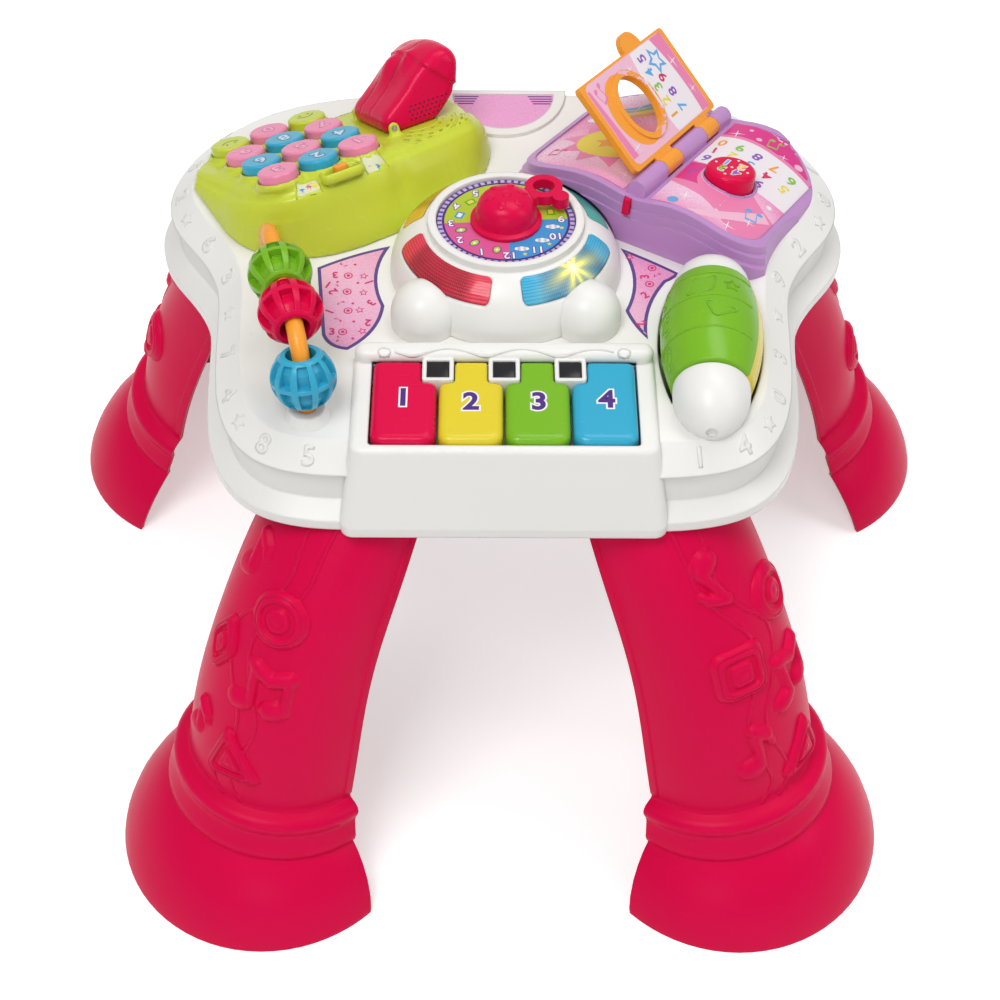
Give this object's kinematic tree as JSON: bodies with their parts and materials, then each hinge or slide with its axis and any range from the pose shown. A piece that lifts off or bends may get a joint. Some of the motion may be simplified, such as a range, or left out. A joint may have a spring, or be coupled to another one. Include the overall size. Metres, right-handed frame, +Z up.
{
  "type": "musical activity table",
  "caption": "Low activity table for toddlers: lobed white top with keys, clock dome, phone, book, roller and bead arch on flared half-shell legs.",
  "frame": {"origin": "centre of the footprint at floor level, below the middle of the table", "axes": "+X to the right seen from the piano keys, +Y from the piano keys to the name plate at the rear, +Z up"},
  "size_m": [0.588, 0.492, 0.3785],
  "materials": {
    "white_casing": "glossy white moulded plastic",
    "crimson": "glossy crimson moulded plastic",
    "lime": "glossy lime green moulded plastic",
    "purple": "satin lilac moulded plastic",
    "orange": "glossy orange moulded plastic",
    "yellow": "glossy yellow moulded plastic",
    "green": "glossy green moulded plastic",
    "blue": "glossy blue moulded plastic",
    "pink": "glossy pink moulded plastic",
    "red_lens": "tinted red light window",
    "blue_lens": "tinted blue light window",
    "teal_lens": "tinted teal light window",
    "amber_lens": "tinted amber light window",
    "dial_print": "printed clock dial",
    "page_print": "printed book page",
    "sticker_print": "printed pink sticker",
    "plate_print": "bare pink insert",
    "steel": "plain steel",
    "board": "green circuit board",
    "dark": "black speaker cone and frame",
    "battery": "plain battery sleeve",
    "grey": "matt white moulded plastic"
  },
  "bodies": {
    "casing": {"top_shell": "white_casing", "bottom_cover": "grey", "battery_door": "grey", "batteries": "battery", "cover_screws": "steel", "dome_housing": "white_casing", "dial_plate": "dial_print", "window_red": "red_lens", "window_blue": "blue_lens", "window_teal": "teal_lens", "window_amber": "amber_lens", "key_axle": "steel", "name_plate": "plate_print", "roller_axle": "steel", "bead_rod": "orange", "phone_base": "lime", "handset_rod": "steel", "book_base": "purple", "page_left": "page_print", "page_right": "page_print", "spine_pin": "steel", "ribbon": "crimson", "sticker_left": "sticker_print", "sticker_right": "sticker_print", "speaker": "dark", "circuit_board": "board", "leg_front_left": "crimson", "leg_front_right": "crimson", "leg_rear_left": "crimson", "leg_rear_right": "crimson"},
    "piano_key_1": {"piano_key_1": "crimson"},
    "piano_key_2": {"piano_key_2": "yellow"},
    "piano_key_3": {"piano_key_3": "green"},
    "piano_key_4": {"piano_key_4": "blue"},
    "phone_key_1": {"phone_key_1": "pink"},
    "phone_key_2": {"phone_key_2": "blue"},
    "phone_key_3": {"phone_key_3": "pink"},
    "phone_key_4": {"phone_key_4": "blue"},
    "phone_key_5": {"phone_key_5": "pink"},
    "phone_key_6": {"phone_key_6": "blue"},
    "phone_key_7": {"phone_key_7": "pink"},
    "phone_key_8": {"phone_key_8": "blue"},
    "phone_key_9": {"phone_key_9": "pink"},
    "phone_key_call": {"phone_key_call": "lime"},
    "phone_key_0": {"phone_key_0": "pink"},
    "phone_key_end": {"phone_key_end": "lime"},
    "slider_switch": {"slider_switch": "orange"},
    "handset": {"handset": "crimson"},
    "spinner": {"spinner": "crimson", "spinner_clip": "grey"},
    "roller": {"roller_green": "green", "roller_yellow": "yellow"},
    "book_leaf": {"book_leaf": "orange"},
    "book_button": {"book_button": "crimson"},
    "bead_blue": {"bead_blue": "blue"},
    "bead_crimson": {"bead_crimson": "crimson"},
    "bead_green": {"bead_green": "green"}
  },
  "joints": [
    {"name": "piano_key_1_press", "type": "hinge", "parent": "casing", "child": "piano_key_1", "pos_m": [0, -0.061, 0.303], "axis": [1, 0, 0], "range_deg": [0, 4], "stiffness_Nm_per_rad": 0.25, "springref_deg": -20.05},
    {"name": "piano_key_2_press", "type": "hinge", "parent": "casing", "child": "piano_key_2", "pos_m": [0, -0.061, 0.303], "axis": [1, 0, 0], "range_deg": [0, 4], "stiffness_Nm_per_rad": 0.25, "springref_deg": -20.05},
    {"name": "piano_key_3_press", "type": "hinge", "parent": "casing", "child": "piano_key_3", "pos_m": [0, -0.061, 0.303], "axis": [1, 0, 0], "range_deg": [0, 4], "stiffness_Nm_per_rad": 0.25, "springref_deg": -20.05},
    {"name": "piano_key_4_press", "type": "hinge", "parent": "casing", "child": "piano_key_4", "pos_m": [0, -0.061, 0.303], "axis": [1, 0, 0], "range_deg": [0, 4], "stiffness_Nm_per_rad": 0.25, "springref_deg": -20.05},
    {"name": "phone_key_1_press", "type": "slide", "parent": "casing", "child": "phone_key_1", "axis": [0.1986, -0.3439, -0.9178], "range_m": [0, 0.002], "stiffness_N_per_m": 300, "springref_m": -0.003},
    {"name": "phone_key_2_press", "type": "slide", "parent": "casing", "child": "phone_key_2", "axis": [0.1986, -0.3439, -0.9178], "range_m": [0, 0.002], "stiffness_N_per_m": 300, "springref_m": -0.003},
    {"name": "phone_key_3_press", "type": "slide", "parent": "casing", "child": "phone_key_3", "axis": [0.1986, -0.3439, -0.9178], "range_m": [0, 0.002], "stiffness_N_per_m": 300, "springref_m": -0.003},
    {"name": "phone_key_4_press", "type": "slide", "parent": "casing", "child": "phone_key_4", "axis": [0.1986, -0.3439, -0.9178], "range_m": [0, 0.002], "stiffness_N_per_m": 300, "springref_m": -0.003},
    {"name": "phone_key_5_press", "type": "slide", "parent": "casing", "child": "phone_key_5", "axis": [0.1986, -0.3439, -0.9178], "range_m": [0, 0.002], "stiffness_N_per_m": 300, "springref_m": -0.003},
    {"name": "phone_key_6_press", "type": "slide", "parent": "casing", "child": "phone_key_6", "axis": [0.1986, -0.3439, -0.9178], "range_m": [0, 0.002], "stiffness_N_per_m": 300, "springref_m": -0.003},
    {"name": "phone_key_7_press", "type": "slide", "parent": "casing", "child": "phone_key_7", "axis": [0.1986, -0.3439, -0.9178], "range_m": [0, 0.002], "stiffness_N_per_m": 300, "springref_m": -0.003},
    {"name": "phone_key_8_press", "type": "slide", "parent": "casing", "child": "phone_key_8", "axis": [0.1986, -0.3439, -0.9178], "range_m": [0, 0.002], "stiffness_N_per_m": 300, "springref_m": -0.003},
    {"name": "phone_key_9_press", "type": "slide", "parent": "casing", "child": "phone_key_9", "axis": [0.1986, -0.3439, -0.9178], "range_m": [0, 0.002], "stiffness_N_per_m": 300, "springref_m": -0.003},
    {"name": "phone_key_call_press", "type": "slide", "parent": "casing", "child": "phone_key_call", "axis": [0.1986, -0.3439, -0.9178], "range_m": [0, 0.002], "stiffness_N_per_m": 300, "springref_m": -0.003},
    {"name": "phone_key_0_press", "type": "slide", "parent": "casing", "child": "phone_key_0", "axis": [0.1986, -0.3439, -0.9178], "range_m": [0, 0.002], "stiffness_N_per_m": 300, "springref_m": -0.003},
    {"name": "phone_key_end_press", "type": "slide", "parent": "casing", "child": "phone_key_end", "axis": [0.1986, -0.3439, -0.9178], "range_m": [0, 0.002], "stiffness_N_per_m": 300, "springref_m": -0.003},
    {"name": "slider_switch_slide", "type": "slide", "parent": "casing", "child": "slider_switch", "axis": [0.866, 0.5, 0], "range_m": [-0.005, 0.005]},
    {"name": "handset_lift", "type": "hinge", "parent": "casing", "child": "handset", "pos_m": [-0.07493, 0.11632, 0.32729], "axis": [0.4589, -0.7948, 0.3971], "range_deg": [0, 55]},
    {"name": "spinner_turn", "type": "hinge", "parent": "casing", "child": "spinner", "pos_m": [0.001, 0.016, 0.305], "axis": [0, 0.0698, 0.9976], "continuous": true},
    {"name": "roller_turn", "type": "hinge", "parent": "casing", "child": "roller", "pos_m": [0.1113, -0.046, 0.312], "axis": [0.0698, 0.9976, 0], "continuous": true},
    {"name": "book_leaf_turn", "type": "hinge", "parent": "casing", "child": "book_leaf", "pos_m": [0.07334, 0.04007, 0.33913], "axis": [0.495, 0.8437, -0.2079], "range_deg": [-31, 131]},
    {"name": "book_button_press", "type": "slide", "parent": "casing", "child": "book_button", "axis": [-0.1052, -0.1793, -0.9781], "range_m": [0, 0.003], "stiffness_N_per_m": 300, "springref_m": -0.003},
    {"name": "bead_blue_spin", "type": "hinge", "parent": "casing", "child": "bead_blue", "pos_m": [-0.10315, -0.09735, 0.33035], "axis": [-0.0658, 0.268, 0.9612], "continuous": true},
    {"name": "bead_crimson_spin", "type": "hinge", "parent": "casing", "child": "bead_crimson", "pos_m": [-0.11042, -0.06777, 0.34862], "axis": [-0.2384, 0.9708, -0.0255], "continuous": true},
    {"name": "bead_green_slide", "type": "slide", "parent": "casing", "child": "bead_green", "axis": [-0.2375, 0.9669, -0.0933], "range_m": [-0.003, 0.016]}
  ]
}
